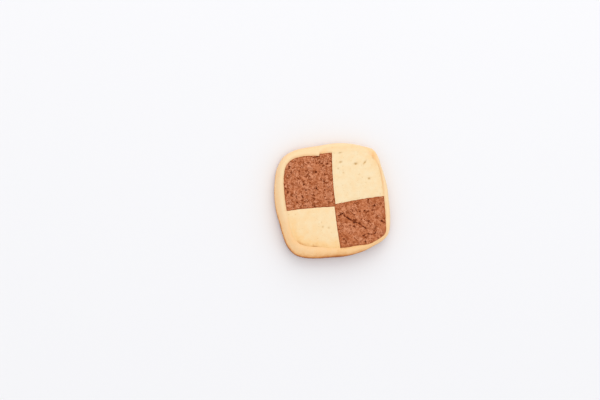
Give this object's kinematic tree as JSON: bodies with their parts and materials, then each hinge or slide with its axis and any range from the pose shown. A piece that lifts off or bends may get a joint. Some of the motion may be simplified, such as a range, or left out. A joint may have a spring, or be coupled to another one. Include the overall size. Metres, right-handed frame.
{
  "type": "chequerboard biscuit",
  "caption": "Round-cornered flat biscuit of plain and cocoa dough in a chequerboard, wrapped in a plain rim, for eating or for dressing a plate.",
  "frame": {"origin": "under the middle of the biscuit, on the surface that it lies on", "axes": "+Z out of the chequered face, +Y along the seam between the two upper bars, +X to the right as the face is looked at"},
  "size_m": [0.0482, 0.0479, 0.0083],
  "materials": {
    "plain_crust": "matt baked shortcrust, pale gold, browner round the foot",
    "plain_crumb": "matt, smooth cream-coloured biscuit crumb with fine pores",
    "cocoa_crumb": "matt, coarse and pitted milk-chocolate brown biscuit crumb"
  },
  "bodies": {
    "root": {"plain_wrapper": "plain_crust", "plain_bar_upper_right": "plain_crumb", "plain_bar_lower_left": "plain_crumb", "cocoa_bar_upper_left": "cocoa_crumb", "cocoa_bar_lower_right": "cocoa_crumb"}
  },
  "joints": []
}
